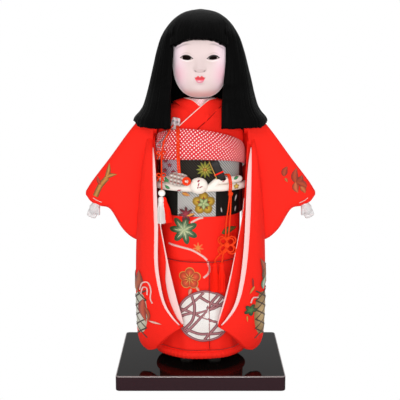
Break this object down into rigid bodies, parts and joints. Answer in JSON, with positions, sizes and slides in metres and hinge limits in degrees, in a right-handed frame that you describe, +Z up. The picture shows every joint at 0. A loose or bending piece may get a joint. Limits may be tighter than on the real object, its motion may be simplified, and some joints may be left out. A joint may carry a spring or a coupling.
{
  "type": "ichimatsu doll",
  "caption": "Standing ichimatsu doll with bobbed hair and a red long-sleeved kimono, on a black lacquered board; its head turns, its arms swing and its tassels hang free.",
  "frame": {"origin": "middle of the board's underside, on the surface that it stands on", "axes": "+Z up; the doll faces -Y, and its left arm is at +X"},
  "size_m": [0.2632, 0.168, 0.417],
  "materials": {
    "lacquer": "polished black lacquer",
    "bare_wood": "plain turned wood",
    "steel": "plain steel",
    "stuffing": "cotton cloth over a firm filling",
    "cotton": "white cotton",
    "gofun": "polished shell-white paint",
    "eye_glass": "dark polished glass",
    "hair": "black silk hair",
    "red_silk": "red crepe silk",
    "lining_silk": "pale lining silk",
    "brocade": "woven brocade",
    "tie_dye": "tie-dyed crepe",
    "cord_silk": "padded printed silk",
    "silver_cloth": "silver brocade",
    "silver": "polished silver plate",
    "string": "twisted silk string",
    "white_thread": "silk thread",
    "bead_white": "polished bead",
    "fan_lacquer": "lacquered ribs and paper"
  },
  "bodies": {
    "stand_and_body": {"base_board": "lacquer", "support_post": "bare_wood", "post_screw": "steel", "torso": "stuffing", "left_leg": "gofun", "right_leg": "gofun", "left_sock": "cotton", "right_sock": "cotton", "under_robe": "lining_silk", "kimono_bodice": "red_silk", "kimono_skirt": "red_silk", "waist_tuck": "red_silk", "hem_roll": "red_silk", "obi_band": "brocade", "obi_drum": "brocade", "left_obi_wing": "brocade", "right_obi_wing": "brocade", "obi_scarf": "tie_dye", "obi_cord": "cord_silk", "obi_cord_knot": "cord_silk", "left_cord_end": "cord_silk", "right_cord_end": "cord_silk", "under_collar": "cotton", "left_lapel": "red_silk", "right_lapel": "red_silk", "purse": "silver_cloth", "purse_chain": "silver", "pouch_string": "string", "scent_pouch": "silver_cloth", "hanging_string": "string", "fan": "fan_lacquer", "cord_hitch": "string"},
    "head_group": {"head": "gofun", "left_eye": "eye_glass", "right_eye": "eye_glass", "wig": "hair", "fringe": "hair"},
    "left_arm_group": {"left_arm_wire": "steel", "left_arm": "stuffing", "left_hand": "gofun", "left_sleeve": "red_silk", "left_sleeve_lining": "lining_silk"},
    "right_arm_group": {"right_arm_wire": "steel", "right_arm": "stuffing", "right_hand": "gofun", "right_sleeve": "red_silk", "right_sleeve_lining": "lining_silk"},
    "white_tassel_group": {"bead_string": "string", "tassel_bead": "bead_white", "white_tassel": "white_thread"},
    "red_tassel_group": {"flower_strings": "string", "flower_knot": "string", "red_tassels": "red_silk"}
  },
  "joints": [
    {"name": "head_turn", "type": "hinge", "parent": "stand_and_body", "child": "head_group", "pos_m": [0, 0, 0.305], "axis": [0, 0, 1], "range_deg": [-12, 12]},
    {"name": "left_arm_swing", "type": "hinge", "parent": "stand_and_body", "child": "left_arm_group", "pos_m": [0.0496, 0, 0.288], "axis": [-1, 0, 0], "range_deg": [0, 20]},
    {"name": "right_arm_swing", "type": "hinge", "parent": "stand_and_body", "child": "right_arm_group", "pos_m": [-0.0496, 0, 0.288], "axis": [-1, 0, 0], "range_deg": [0, 20]},
    {"name": "white_tassel_swing", "type": "hinge", "parent": "stand_and_body", "child": "white_tassel_group", "pos_m": [-0.0404, -0.039, 0.2536], "axis": [-1, 0, 0], "range_deg": [0, 20]},
    {"name": "red_tassel_swing", "type": "hinge", "parent": "stand_and_body", "child": "red_tassel_group", "pos_m": [0.0332, -0.0466, 0.2164], "axis": [-1, 0, 0], "range_deg": [0, 20]}
  ]
}
